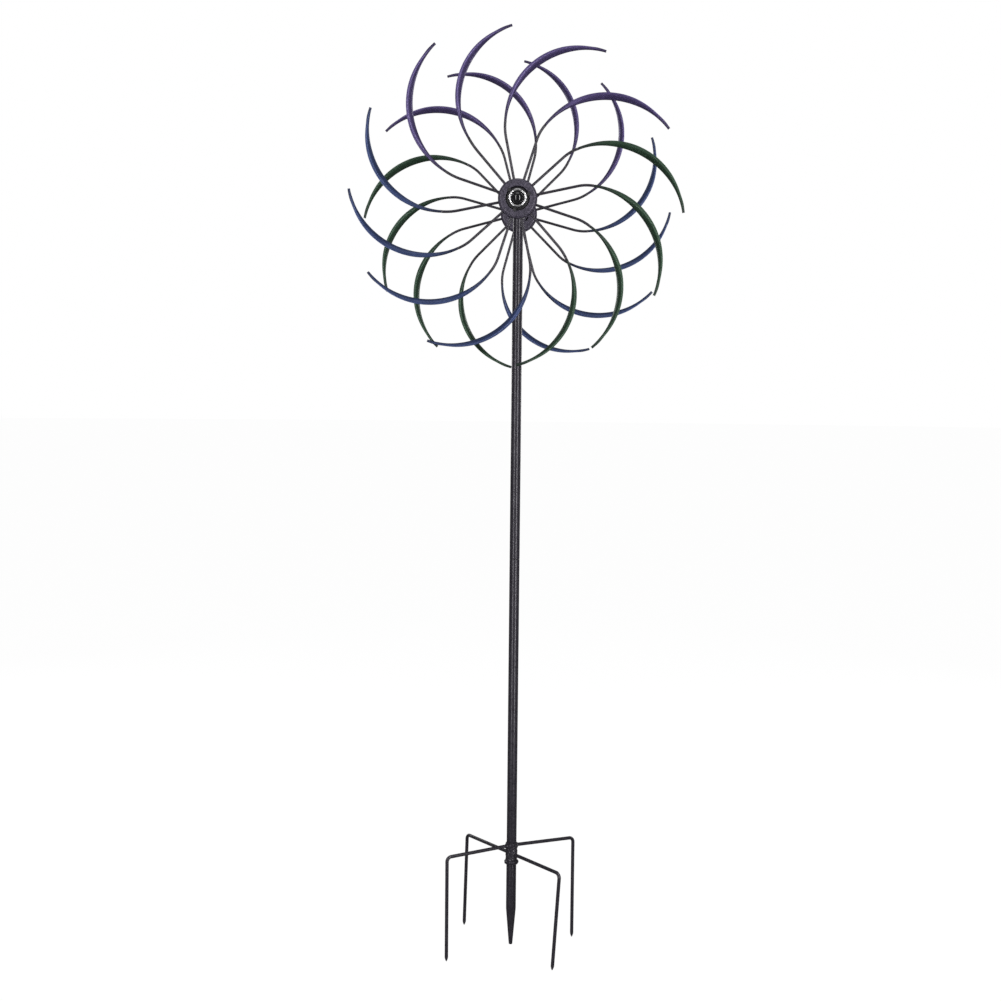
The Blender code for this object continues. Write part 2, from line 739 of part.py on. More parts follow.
def lock_nut():
    start = from_pole(BEARING_SHOULDER + BEARING_WIDTH + 2 * GAP)
    bm = bmesh.new()
    bmesh.ops.create_cone(
        bm,
        cap_ends=True,
        segments=6,
        radius1=NUT_ACROSS_FLATS / math.sqrt(3),
        radius2=NUT_ACROSS_FLATS / math.sqrt(3),
        depth=NUT_HEIGHT,
    )
    stand = Matrix.Translation((0.0, -start - NUT_HEIGHT / 2, 0.0)) @ Matrix.Rotation(math.pi / 2, 4, "X")
    bmesh.ops.transform(bm, matrix=stand, verts=bm.verts)
    nut = mesh_from(bm, "lock_nut")
    hole = tube(0.0, AXLE_RADIUS + GAP, start - NUT_HEIGHT, start + NUT_HEIGHT * 2)
    bore = outward("nut_bore", hole, COARSE_STEPS)
    return combine(nut, bore, "DIFFERENCE")


def cap_cup():
    """A low cup round the barrel's end, with three lugs in the disc's notches."""
    hole = BARREL_RADIUS + GAP
    seat = BEZEL_RADIUS + GAP
    floor = from_pole(HUB_FLOOR) + GAP
    shelf = from_pole(BEZEL_START) - GAP
    profile = [
        (hole, floor),
        (CUP_FLANGE_RADIUS, floor),
        (CUP_FLANGE_RADIUS, shelf),
        (CUP_WALL_RADIUS, shelf + CUP_STEP),
        (CUP_WALL_RADIUS, from_pole(CUP_TOP)),
        (seat, from_pole(CUP_TOP)),
        (seat, shelf),
        (hole, shelf),
    ]
    cup = outward("cap_cup", profile)
    half = NOTCH_WIDTH / 2 - GAP
    low = ((seat + CUP_WALL_RADIUS) / 2, -from_pole(LUG_TOP), -half)
    high = (LUG_REACH, -floor - GAP, half)
    for angle in LUG_ANGLES:
        cup = combine(cup, block("lug", low, high, angle), "UNION")
    return cup


def cap_bezel():
    """A bright ring with a rolled lip that holds the dome down."""
    bore = DOME_FLANGE_RADIUS + GAP
    lip_start = from_pole(DOME_SHOULDER) + GAP
    top = from_pole(BEZEL_TOP)
    profile = [
        (bore, from_pole(BEZEL_START)),
        (BEZEL_RADIUS, from_pole(BEZEL_START)),
        (BEZEL_RADIUS, top - BEZEL_ROLL),
        (BEZEL_RADIUS - 0.3 * BEZEL_ROLL, top - 0.3 * BEZEL_ROLL),
        (BEZEL_RADIUS - BEZEL_ROLL, top),
        (BEZEL_LIP_RADIUS + BEZEL_ROLL, top),
        (BEZEL_LIP_RADIUS, top - BEZEL_ROLL),
        (BEZEL_LIP_RADIUS, lip_start),
        (bore, lip_start),
    ]
    return outward("cap_bezel", profile)


def cap_dome():
    """A hollow dome over the nut, with a flange under the bezel's lip."""
    seat = from_pole(BARREL_END) + GAP
    shoulder = from_pole(DOME_SHOULDER)
    centre = from_pole(DOME_CENTRE)
    inner = DOME_RADIUS - DOME_WALL
    foot = math.asin((shoulder - centre) / DOME_RADIUS)
    rises = [foot + (math.pi / 2 - foot) * i / DOME_RINGS for i in range(DOME_RINGS)]
    outside = [(DOME_RADIUS * math.cos(a), centre + DOME_RADIUS * math.sin(a)) for a in rises]
    falls = [math.pi / 2 * i / DOME_RINGS for i in range(DOME_RINGS - 1, -1, -1)]
    inside = [(inner * math.cos(a), centre + inner * math.sin(a)) for a in falls]
    flange = [(inner, seat), (DOME_FLANGE_RADIUS, seat), (DOME_FLANGE_RADIUS, shoulder)]
    profile = [(0.0, centre + inner)] + inside + flange + outside + [(0.0, centre + DOME_RADIUS)]
    return outward("cap_dome", profile, DOME_STEPS)


def hub_meshes():
    """The hub's pieces that both wheels share, each with its material."""
    return {
        "hub_outer_plate": (outer_plate(), "hub_coat"),
        "hub_inner_plate": (inner_plate(), "hub_coat"),
        "hub_barrel": (hub_barrel(), "bare_steel"),
        "bearing_outer_race": (race("outer_race", OUTER_RACE_BORE, BEARING_SEAT_RADIUS - GAP), "bare_steel"),
        "bearing_inner_race": (race("inner_race", AXLE_RADIUS + GAP, INNER_RACE_RADIUS), "bare_steel"),
        "bearing_ball_cage": (ball_cage(), "bare_steel"),
        "hub_bush": (hub_bush(), "bush_nylon"),
        "spacer_tube": (spacer_tube(), "pole_coat"),
        "lock_nut": (lock_nut(), "bare_steel"),
        "cap_cup": (cap_cup(), "cup_plastic"),
        "cap_bezel": (cap_bezel(), "chrome"),
        "cap_dome": (cap_dome(), "dome_plastic"),
    }


STILL_PIECES = ("bearing_inner_race", "spacer_tube", "lock_nut")


def make_wheel(side, half_turn, wheel_turn, settings, hub_pieces, blade_mesh, materials):
    """One wheel on its own empty, whose origin is on the joint's axis."""
    hub = empty(f"{side}_wheel_axis", (0.0, 0.0, AXLE_HEIGHT), half_turn)
    for name, (mesh, material) in hub_pieces.items():
        turn = 0.0 if name in STILL_PIECES else -wheel_turn
        place(f"{side}_{name}", mesh, materials[material], hub, turn)
    place(f"{side}_spoke_spider", spoke_spider(settings), materials["pole_coat"], hub, -wheel_turn)
    for i, setting in enumerate(settings):
        turn = math.tau * i / BLADE_COUNT - wheel_turn
        mesh = set_blade(blade_mesh, setting)
        place(f"{side}_blade_{i + 1:02d}", mesh, materials[BLADE_COLOURS[i]], hub, turn)


def main():
    clear_scene()
    materials = make_materials()
    make_stand(materials)
    hub_pieces = hub_meshes()
    front = [blade_setting(bend, reach) for bend, reach in zip(FRONT_BENDS, FRONT_REACHES)]
    rear = [blade_setting(bend, reach) for bend, reach in zip(REAR_BENDS, REAR_REACHES)]
    make_wheel("front", 0.0, FRONT_WHEEL_TURN, front, hub_pieces, blade(1), materials)
    make_wheel("rear", math.pi, REAR_WHEEL_TURN, rear, hub_pieces, blade(-1), materials)


main()
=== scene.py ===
"""A garden wind spinner: two wheels of curved, painted blades back to back on a forked pole.

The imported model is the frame. Every visible piece is made again here, finer, in the same metres:
+Z up, -Y to the front, the origin on the pole's axis at the soil line.
"""

import json
import math

import bmesh
import bpy
from mathutils import Matrix, Vector, noise


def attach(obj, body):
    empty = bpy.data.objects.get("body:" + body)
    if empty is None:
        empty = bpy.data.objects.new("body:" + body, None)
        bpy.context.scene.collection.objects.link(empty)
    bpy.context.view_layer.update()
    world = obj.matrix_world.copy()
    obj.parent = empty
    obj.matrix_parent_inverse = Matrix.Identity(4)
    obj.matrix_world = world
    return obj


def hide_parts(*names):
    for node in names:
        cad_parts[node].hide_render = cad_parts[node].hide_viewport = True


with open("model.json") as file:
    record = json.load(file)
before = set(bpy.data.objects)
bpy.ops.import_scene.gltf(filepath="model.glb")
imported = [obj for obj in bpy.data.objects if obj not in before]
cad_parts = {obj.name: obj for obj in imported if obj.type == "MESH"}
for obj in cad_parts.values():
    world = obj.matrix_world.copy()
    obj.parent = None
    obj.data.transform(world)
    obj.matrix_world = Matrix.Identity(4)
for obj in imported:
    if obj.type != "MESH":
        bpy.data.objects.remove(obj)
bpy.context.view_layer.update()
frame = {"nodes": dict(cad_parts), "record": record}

# Pole, axle and its housing
POLE_RADIUS = 0.0097
POLE_WALL = 0.0012
POLE_JOINT_HEIGHT = 0.589
POLE_EDGE_ROUND = 0.0012
AXLE_HEIGHT = 1.2675
AXLE_RADIUS = 0.0040
HOUSING_RADIUS = 0.0120
HOUSING_HALF_LENGTH = 0.0200
SADDLE_DROP = 0.0085

# Stake, collar and fork
STAKE_RADIUS = 0.0097
STAKE_DEPTH = 0.180
STAKE_TAPER_START = -0.107
STAKE_TIP_RADIUS = 0.0035
COLLAR_RADIUS = 0.0115
COLLAR_TOP = 0.0262
COLLAR_LIP_RADIUS = 0.0143
COLLAR_LIP_HEIGHT = -0.0121
COLLAR_BOTTOM = -0.0165
COLLAR_BRIM = 0.0012
COLLAR_LIP_FADE = 0.0032
FORK_ROD_RADIUS = 0.0034
FORK_BEND_RADIUS = 0.0090
FORK_STRAIGHT = 0.0160
FORK_POINT_LENGTH = 0.0095
PRONG_DEPTH = 0.190
# Each rod: name, direction, height, arm, droop of its arms, outward leans of its two prongs
FORK_RODS = (
    ("fork_rod_a", math.radians(29.7), 0.0196, 0.142, 0.0038, (0.0, 0.0)),
    ("fork_rod_b", math.radians(128.0), 0.0034, 0.151, 0.0, (math.radians(-5.5), math.radians(2.5))),
)

# Wheels, and blades in their own settings: degrees bent back at the root, and reach
WHEEL_OFFSET = 0.114
BLADE_COUNT = 12
SPOKE_RADIUS = 0.0025
SPOKE_LEAD = math.radians(42.0)
SPOKE_OVERLAP = 0.026
SPOKE_BEND_REACH = 0.015
SPOKE_NECK_START = 0.0018
SPOKE_START = 0.0160
SPOKE_NECK_RADIUS = 0.0015
BLADE_TIP_RADIUS = 0.3085
BLADE_ROOT_RADIUS = 0.143
BLADE_BEND_RADIUS = 0.1408
BLADE_SHEET = 0.0006
BLADE_END_HALF_WIDTH = 0.0024
BLADE_MIDDLE_HALF_WIDTH = 0.0096
BLADE_END_DEPTH = 0.0024
BLADE_MIDDLE_DEPTH = 0.0044
BLADE_SETBACK = 0.0004
BLADE_PITCH = math.radians(60)
BLADE_TWIST_SHARE = 0.6
BLADE_TIP_UNTWIST = 0.75
BLADE_SKEW = 1.12
BLADE_SWELL = 1.6
BLADE_COLOURS = ("purple",) * 3 + ("green",) * 4 + ("blue",) * 4 + ("purple",)
WHEELS = {
    "front": {
        "half_turn": 0.0,
        "hand": 1,
        "turn": math.radians(-2.3),
        "bends": (6.5, 2, -4, -3, -3, -1, 2.5, 0, -2, -0.5, 2.5, 2.5),
        "reaches": (0.97, 0.99, 1.01, 1.01, 1.02, 0.99, 0.96, 1, 1.01, 1.02, 1.02, 1.03),
    },
    "rear": {
        "half_turn": math.pi,
        "hand": -1,
        "turn": math.radians(1.0),
        "bends": (-0.5, 0.5, 0.5, -3.5, -2.5, 0.5, 1, 0, -2, -3.5, -2, 0.5),
        "reaches": (0.96, 0.98, 1.01, 1.03, 1, 1, 0.97, 0.97, 1.01, 0.99, 0.99, 0.97),
    },
}

# Hub, along the axle from the plane of the spokes, outward
HUB_RADIUS = 0.0362
HUB_FACE_RADIUS = 0.0322
HUB_RECESS_RADIUS = 0.0220
HUB_SHEET = 0.0012
HUB_FACE = 0.0105
HUB_RIM = 0.0070
HUB_BACK_FACE = 0.0075
HUB_BACK_RIM = 0.0040
HUB_FLOOR = 0.0039
BARREL_RADIUS = 0.0140
BARREL_BORE = 0.0095
BEARING_SEAT_RADIUS = 0.0110
BARREL_START = -0.0120
BARREL_END = 0.0110
BEARING_SHOULDER = 0.0027
SPACER_RADIUS = 0.0060
BUSH_FLANGE_RADIUS = 0.0120
BUSH_FLANGE = 0.0015
BUSH_LENGTH = 0.0080
AXLE_END = 0.0195
NOTCH_WIDTH = 0.0068
NOTCH_START = 0.0200
NOTCH_REACH = 0.0256
SLOT_RADIUS = 0.0186
SLOT_LENGTH = 0.0110
SLOT_WIDTH = 0.0030
LUG_ANGLES = tuple(math.radians(a) for a in (138, 22, 258))
SLOT_ANGLES = tuple(math.radians(a) for a in (92, 212, 332))
CUP_FLANGE_RADIUS = 0.0208
CUP_WALL_RADIUS = 0.0184
CUP_TOP = 0.0115
LUG_REACH = 0.0252
LUG_TOP = 0.0108
BEZEL_RADIUS = 0.0165
BEZEL_START = 0.0066
BEZEL_TOP = 0.0170
BEZEL_LIP_RADIUS = 0.0126
DOME_RADIUS = 0.0123
DOME_CENTRE = 0.0120
GAP = 0.0003

ROUND_STEPS = 96
SHARP_ANGLE = math.radians(40)


# Mesh helpers


def mesh_from(bm, name):
    bmesh.ops.recalc_face_normals(bm, faces=bm.faces)
    mesh = bpy.data.meshes.new(name)
    bm.to_mesh(mesh)
    bm.free()
    mesh.shade_smooth()
    mesh.set_sharp_from_angle(angle=SHARP_ANGLE)
    return mesh


def softened(profile, radius, steps=3):
    """The closed (radius, height) profile with its corners rounded, except those on the axis."""
    points = [Vector(p) for p in profile]
    result = []
    for i, corner in enumerate(points):
        before, after = points[i - 1], points[(i + 1) % len(points)]
        if corner.x < 1e-6:
            result.append(corner)
            continue
        cut_in = min(radius, 0.45 * (before - corner).length)
        cut_out = min(radius, 0.45 * (after - corner).length)
        start = corner + (before - corner).normalized() * cut_in
        end = corner + (after - corner).normalized() * cut_out
        for k in range(steps + 1):
            t = k / steps
            result.append(start * (1 - t) ** 2 + corner * (2 * t * (1 - t)) + end * t**2)
    return [tuple(p) for p in result]


def turned(name, profile, axis, steps=ROUND_STEPS):
    """Spin a closed (radius, height) profile into a solid about the origin, along axis."""
    direction = Vector(axis)
    across = Vector((1.0, 0.0, 0.0))
    bm = bmesh.new()
    verts = [bm.verts.new(across * radius + direction * height) for radius, height in profile]
    edges = [bm.edges.new((a, b)) for a, b in zip(verts, verts[1:])]
    if profile[0][0] > 0.0:
        edges.append(bm.edges.new((verts[-1], verts[0])))
    bmesh.ops.spin(
        bm,
        geom=verts + edges,
        cent=(0.0, 0.0, 0.0),
        axis=direction,
        angle=math.tau,
        steps=steps,
        use_merge=True,
    )
    bmesh.ops.remove_doubles(bm, verts=bm.verts, dist=1e-6)
    return mesh_from(bm, name)


def upright(name, profile, soften=0.0004):
    return turned(name, softened(profile, soften), (0.0, 0.0, 1.0))


def outward(name, profile, soften=0.0004):
    """A turned piece of the wheel facing -Y, its heights counted from the pole's axis."""
    return turned(name, softened(profile, soften), (0.0, -1.0, 0.0))


def tube(inner, outer, start, end):
    return [(inner, start), (outer, start), (outer, end), (inner, end)]


def loft(bm, rings, closed=False):
    """Join a row of equal rings of points into one solid, with flat ends or end to end."""
    loops = [[bm.verts.new(point) for point in ring] for ring in rings]
    pairs = list(zip(loops, loops[1:]))
    if closed:
        pairs.append((loops[-1], loops[0]))
    for near, far in pairs:
        for i in range(len(near)):
            j = (i + 1) % len(near)
            bm.faces.new((near[i], near[j], far[j], far[i]))
    if not closed:
        bm.faces.new(list(reversed(loops[0])))
        bm.faces.new(loops[-1])


def headings(path):
    legs = [(b - a).normalized() for a, b in zip(path, path[1:])]
    return [legs[0]] + [(a + b).normalized() for a, b in zip(legs, legs[1:])] + [legs[-1]]


def rod(bm, path, radii, plane_normal, sides=20):
    """A round rod along a flat path."""
    normal = Vector(plane_normal)
    rings = []
    for point, heading, radius in zip(path, headings(path), radii):
        side = heading.cross(normal)
        turns = [math.tau * i / sides for i in range(sides)]
        rings.append([point + radius * (math.cos(a) * side + math.sin(a) * normal) for a in turns])
    loft(bm, rings)


def bead(bm, path, centre, radius, lump, sides=10):
    """A lumpy weld bead laid along a closed path about centre."""
    rings = []
    count = len(path)
    for i, point in enumerate(path):
        heading = (path[(i + 1) % count] - path[i - 1]).normalized()
        out = (point - centre).normalized()
        side = heading.cross(out).normalized()
        out = side.cross(heading).normalized()
        size = radius * (1 + lump * noise.noise(point * 420.0))
        turns = [math.tau * k / sides for k in range(sides)]
        rings.append([point + size * (math.cos(a) * out + math.sin(a) * side) for a in turns])
    loft(bm, rings, closed=True)


def roughen(mesh, depth, grain, where=None):
    """Push a mesh's points in and out along their normals by smooth noise."""
    normals = [v.normal.copy() for v in mesh.vertices]
    for vertex, normal in zip(mesh.vertices, normals):
        share = 1.0 if where is None else where(vertex.co)
        vertex.co += normal * depth * share * noise.noise(vertex.co / grain)
    mesh.update()


def combine(mesh, other, operation):
    """Cut other from mesh, or join it on, and return mesh's new shape."""
    first = bpy.data.objects.new("work_piece", mesh)
    second = bpy.data.objects.new("work_tool", other)
    for obj in (first, second):
        bpy.context.scene.collection.objects.link(obj)
    modifier = first.modifiers.new("combine", "BOOLEAN")
    modifier.object = second
    modifier.operation = operation
    modifier.solver = "EXACT"
    bpy.context.view_layer.update()
    result = bpy.data.meshes.new_from_object(first.evaluated_get(bpy.context.evaluated_depsgraph_get()))
    result.name = mesh.name
    for obj in (first, second):
        bpy.data.objects.remove(obj, do_unlink=True)
    result.shade_smooth()
    result.set_sharp_from_angle(angle=SHARP_ANGLE)
    return result


def block(name, low, high, angle=0.0, rounding=0.0):
    """A box given by its corners, turned about the axle's direction, its upright edges rounded."""
    bm = bmesh.new()
    bmesh.ops.create_cube(bm, size=1.0)
    size = Vector(high) - Vector(low)
    middle = (Vector(high) + Vector(low)) / 2
    sized = Matrix.Translation(middle) @ Matrix.Diagonal((*size, 1.0))
    bmesh.ops.transform(bm, matrix=sized, verts=bm.verts)
    if rounding:
        along = [e for e in bm.edges if abs((e.verts[0].co - e.verts[1].co).normalized().y) > 0.9]
        bmesh.ops.bevel(bm, geom=along, offset=rounding, segments=5, affect="EDGES")
    bmesh.ops.transform(bm, matrix=Matrix.Rotation(-angle, 4, "Y"), verts=bm.verts)
    return mesh_from(bm, name)


# Materials


def new_material(name):
    material = bpy.data.materials.new(name)
    material.use_nodes = True
    tree = material.node_tree
    return material, tree, tree.nodes["Principled BSDF"]


def noise_node(tree, scale, detail=3.0, roughness=0.55):
    coordinates = tree.nodes.new("ShaderNodeTexCoord")
    texture = tree.nodes.new("ShaderNodeTexNoise")
    texture.inputs["Scale"].default_value = scale
    texture.inputs["Detail"].default_value = detail
    texture.inputs["Roughness"].default_value = roughness
    tree.links.new(coordinates.outputs["Object"], texture.inputs["Vector"])
    return texture


def spread(tree, value, low, high):
    """A noise value brought from its usual middle band to low..high."""
    node = tree.nodes.new("ShaderNodeMapRange")
    node.inputs["From Min"].default_value = 0.3
    node.inputs["From Max"].default_value = 0.7
    node.inputs["To Min"].default_value = low
    node.inputs["To Max"].default_value = high
    tree.links.new(value, node.inputs["Value"])
    return node.outputs["Result"]


def mixed_colour(tree, factor, first, second):
    node = tree.nodes.new("ShaderNodeMix")
    node.data_type = "RGBA"
    for socket, colour in ((node.inputs[6], first), (node.inputs[7], second)):
        if isinstance(colour, tuple):
            socket.default_value = (*colour, 1.0)
        else:
            tree.links.new(colour, socket)
    tree.links.new(factor, node.inputs[0])
    return node.outputs[2]


def bumped(tree, shader, layers):
    """Stack bumps, each (height socket, strength, distance), on the shader's normal."""
    previous = None
    for height, strength, distance in layers:
        node = tree.nodes.new("ShaderNodeBump")
        node.inputs["Strength"].default_value = strength
        node.inputs["Distance"].default_value = distance
        tree.links.new(height, node.inputs["Height"])
        if previous is not None:
            tree.links.new(previous, node.inputs["Normal"])
        previous = node.outputs["Normal"]
    tree.links.new(previous, shader.inputs["Normal"])


def powder_coat(name, dark, light, roughness, grain, depth, patch_scale=45.0):
    """Baked powder paint: a fine orange-peel surface with slightly uneven colour and gloss."""
    material, tree, shader = new_material(name)
    patches = noise_node(tree, patch_scale)
    peel = noise_node(tree, 1.0 / grain, detail=2.0)
    colour = mixed_colour(tree, spread(tree, patches.outputs["Fac"], 0.0, 1.0), dark, light)
    tree.links.new(colour, shader.inputs["Base Color"])
    gloss = spread(tree, noise_node(tree, 160.0).outputs["Fac"], roughness - 0.05, roughness + 0.06)
    tree.links.new(gloss, shader.inputs["Roughness"])
    shader.inputs["Metallic"].default_value = 0.25
    bumped(tree, shader, [(peel.outputs["Fac"], 0.6, depth)])
    return material


def blade_paint(name, deep, bright, end_colour):
    """Metallic paint that darkens a little at both ends of the blade."""
    material, tree, shader = new_material(name)
    along = tree.nodes.new("ShaderNodeUVMap")
    along.uv_map = "along"
    split = tree.nodes.new("ShaderNodeSeparateXYZ")
    tree.links.new(along.outputs["UV"], split.inputs["Vector"])
    ends = tree.nodes.new("ShaderNodeValToRGB")
    ramp = ends.color_ramp
    ramp.elements[0].position = 0.03
    ramp.elements[0].color = (0.30, 0.30, 0.30, 1.0)
    ramp.elements[1].position = 0.24
    ramp.elements[1].color = (1.0, 1.0, 1.0, 1.0)
    for position, level in ((0.86, 1.0), (1.0, 0.40)):
        element = ramp.elements.new(position)
        element.color = (level, level, level, 1.0)
    tree.links.new(split.outputs["X"], ends.inputs["Fac"])
    body = mixed_colour(tree, spread(tree, noise_node(tree, 40.0).outputs["Fac"], 0.0, 1.0), deep, bright)
    colour = mixed_colour(tree, ends.outputs["Color"], end_colour, body)
    tree.links.new(colour, shader.inputs["Base Color"])
    gloss = spread(tree, noise_node(tree, 25.0).outputs["Fac"], 0.42, 0.48)
    tree.links.new(gloss, shader.inputs["Roughness"])
    shader.inputs["Metallic"].default_value = 0.60
    shader.inputs["Coat Weight"].default_value = 0.12
    shader.inputs["Coat Roughness"].default_value = 0.14
    bumped(tree, shader, [(noise_node(tree, 60.0, detail=2.0).outputs["Fac"], 0.06, 0.0001)])
    return material


def plain_metal(name, colour, roughness, grain):
    """Bright metal with faint uneven polish."""
    material, tree, shader = new_material(name)
    darker = tuple(c * 0.82 for c in colour)
    mottle = noise_node(tree, 1.0 / grain)
    tree.links.new(
        mixed_colour(tree, spread(tree, mottle.outputs["Fac"], 0.0, 1.0), darker, colour),
        shader.inputs["Base Color"],
    )
    polish = spread(tree, mottle.outputs["Fac"], roughness * 0.8, roughness * 1.3)
    tree.links.new(polish, shader.inputs["Roughness"])
    shader.inputs["Metallic"].default_value = 1.0
    return material


def moulded(name, colour, roughness, bump):
    """Moulded plastic with a faint grain."""
    material, tree, shader = new_material(name)
    lighter = tuple(c * 1.5 + 0.002 for c in colour)
    mottle = noise_node(tree, 120.0)
    tree.links.new(
        mixed_colour(tree, spread(tree, mottle.outputs["Fac"], 0.0, 1.0), colour, lighter),
        shader.inputs["Base Color"],
    )
    gloss = spread(tree, mottle.outputs["Fac"], roughness, roughness * 1.4)
    tree.links.new(gloss, shader.inputs["Roughness"])
    bumped(tree, shader, [(noise_node(tree, 1800.0, detail=2.0).outputs["Fac"], bump, 0.0001)])
    return material


END_GREY = (0.013, 0.012, 0.017)
MATERIALS = {
    "pole_coat": powder_coat(
        "pole_coat",
        dark=(0.024, 0.021, 0.029),
        light=(0.034, 0.031, 0.040),
        roughness=0.28,
        grain=0.0007,
        depth=0.00006,
    ),
    "hub_coat": powder_coat(
        "hub_coat",
        dark=(0.022, 0.019, 0.031),
        light=(0.080, 0.070, 0.100),
        roughness=0.36,
        grain=0.0016,
        depth=0.0006,
        patch_scale=300.0,
    ),
    "blade_purple": blade_paint("blade_purple", (0.060, 0.044, 0.132), (0.084, 0.062, 0.170), END_GREY),
    "blade_green": blade_paint("blade_green", (0.020, 0.046, 0.026), (0.031, 0.066, 0.039), END_GREY),
    "blade_blue": blade_paint("blade_blue", (0.028, 0.045, 0.122), (0.041, 0.063, 0.160), END_GREY),
    "bare_steel": plain_metal("bare_steel", (0.50, 0.50, 0.51), 0.35, 0.002),
    "bush_nylon": moulded("bush_nylon", (0.62, 0.61, 0.57), 0.5, 0.3),
    # The cap cup's near-black is partly its own dark plastic and partly painted shade for the shaded recess
    # round the bezel.
    "cup_plastic": moulded("cup_plastic", (0.006, 0.006, 0.007), 0.45, 0.4),
    "dome_plastic": moulded("dome_plastic", (0.004, 0.004, 0.005), 0.08, 0.05),
    "bezel_chrome": plain_metal("bezel_chrome", (0.86, 0.86, 0.87), 0.26, 0.004),
}


def place(name, mesh, slot, body, nodes, matrix=None):
    """Put a piece in the scene in place of CAD nodes, moving with a body."""
    if matrix is not None:
        mesh.transform(matrix)
    mesh.materials.clear()
    mesh.materials.append(MATERIALS[slot])
    obj = bpy.data.objects.new(name, mesh)
    bpy.context.scene.collection.objects.link(obj)
    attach(obj, body)
    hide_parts(*nodes)
    return obj


# Stand


def fork_direction(angle):
    return Vector((math.cos(angle), math.sin(angle), 0.0))


def rounded_corner(before, corner, after, radius, steps):
    """Points of the arc that rounds a corner between two legs of a flat path."""
    back = (before - corner).normalized()
    on = (after - corner).normalized()
    half_angle = back.angle(on) / 2
    centre = corner + (back + on).normalized() * radius / math.sin(half_angle)
    start = corner + back * radius / math.tan(half_angle) - centre
    normal = on.cross(back).normalized()
    sweep = math.pi - 2 * half_angle
    return [centre + Matrix.Rotation(sweep * i / steps, 3, normal) @ start for i in range(steps + 1)]


def fork_side(side, height, angle, arm, droop, lean):
    """Half of a fork rod with its radii, from the collar along its arm and down its prong."""
    along = fork_direction(angle) * side
    up = Vector((0.0, 0.0, 1.0))
    middle = along * FORK_STRAIGHT + up * height
    corner = along * arm + up * (height - droop)
    down = along * math.sin(lean) - up * math.cos(lean)
    tip = corner + down * (corner.z + PRONG_DEPTH) / math.cos(lean)
    path = [middle] + rounded_corner(middle, corner, tip, FORK_BEND_RADIUS, 12)
    radii = [FORK_ROD_RADIUS] * len(path)
    for share, size in ((1.0, 1.0), (0.8, 0.97), (0.5, 0.78), (0.2, 0.45), (0.05, 0.25), (0.0, 0.12)):
        path.append(tip - down * FORK_POINT_LENGTH * share)
        radii.append(FORK_ROD_RADIUS * size)
    return path, radii


def fork_rod(name, angle, height, arm, droop, leans):
    near_path, near_radii = fork_side(-1, height, angle, arm, droop, leans[0])
    far_path, far_radii = fork_side(1, height, angle, arm, droop, leans[1])
    bm = bmesh.new()
    normal = (-math.sin(angle), math.cos(angle), 0.0)
    rod(bm, near_path[::-1] + far_path, near_radii[::-1] + far_radii, normal)
    return mesh_from(bm, name)


def entry_bead(bm, angle, height, side):
    """The weld round a fork rod where it enters the collar."""
    along = fork_direction(angle) * side
    across = Vector((-along.y, along.x, 0.0))
    up = Vector((0.0, 0.0, 1.0))
    reach = FORK_ROD_RADIUS + 0.0007
    path = []
    for i in range(36):
        turn = math.tau * i / 36
        sideways = reach * math.sin(turn)
        depth = math.sqrt(COLLAR_RADIUS**2 - sideways**2)
        path.append(along * depth + across * sideways + up * (height + reach * math.cos(turn)))
    bead(bm, path, along * COLLAR_RADIUS + up * height, 0.0017, 0.45)


def fork_collar():
    """A sleeve with a rolled lip, rough with weld, and a bead round each rod's way in."""
    bore = STAKE_RADIUS + GAP
    levels = 40
    wall_start = COLLAR_LIP_HEIGHT + COLLAR_LIP_FADE
    wall_height = COLLAR_TOP - COLLAR_BRIM - wall_start
    wall = [(COLLAR_RADIUS, wall_start + wall_height * i / levels) for i in range(levels + 1)]
    brim = [(COLLAR_RADIUS - COLLAR_BRIM, COLLAR_TOP), (bore, COLLAR_TOP)]
    lip = softened(
        [
            (bore, COLLAR_BOTTOM),
            (0.0130, COLLAR_BOTTOM),
            (COLLAR_LIP_RADIUS, COLLAR_LIP_HEIGHT - 0.0008),
            (COLLAR_LIP_RADIUS, COLLAR_LIP_HEIGHT + 0.0008),
            (COLLAR_RADIUS, COLLAR_LIP_HEIGHT + 0.0030),
        ],
        0.0006,
    )[4:]
    profile = [(bore, COLLAR_BOTTOM)] + lip + wall + brim
    sleeve = turned("fork_collar", profile, (0.0, 0.0, 1.0))
    roughen(sleeve, 0.0009, 0.0035, lambda co: 1.0 if math.hypot(co.x, co.y) > bore + 0.0005 else 0.0)
    bm = bmesh.new()
    bm.from_mesh(sleeve)
    for _, angle, height, _, droop, _ in FORK_RODS:
        for side in (-1, 1):
            entry_bead(bm, angle, height - droop * COLLAR_RADIUS / 0.14, side)
    return mesh_from(bm, "fork_collar")


def ground_stake():
    spigot = POLE_RADIUS - POLE_WALL - GAP
    profile = [
        (0.0, -STAKE_DEPTH),
        (STAKE_TIP_RADIUS, -STAKE_DEPTH),
        (STAKE_RADIUS, STAKE_TAPER_START),
        (STAKE_RADIUS, COLLAR_TOP - 0.0004),
        (spigot, COLLAR_TOP - 0.0004),
        (spigot, 0.080),
        (0.0, 0.080),
    ]
    return upright("ground_stake", profile, 0.0010)


def pole_section(name, bottom, top):
    profile = tube(POLE_RADIUS - POLE_WALL, POLE_RADIUS, bottom, top)
    return upright(name, profile, POLE_EDGE_ROUND)


def upper_pole():
    """The upper section, its top cut to saddle the axle housing."""
    section = pole_section("upper_pole", POLE_JOINT_HEIGHT + GAP, AXLE_HEIGHT - SADDLE_DROP)
    reach = POLE_RADIUS * 2
    cutter = turned("saddle", tube(0.0, HOUSING_RADIUS + GAP, -reach, reach), (0.0, -1.0, 0.0))
    cutter.transform(Matrix.Translation((0.0, 0.0, AXLE_HEIGHT)))
    return combine(section, cutter, "DIFFERENCE")


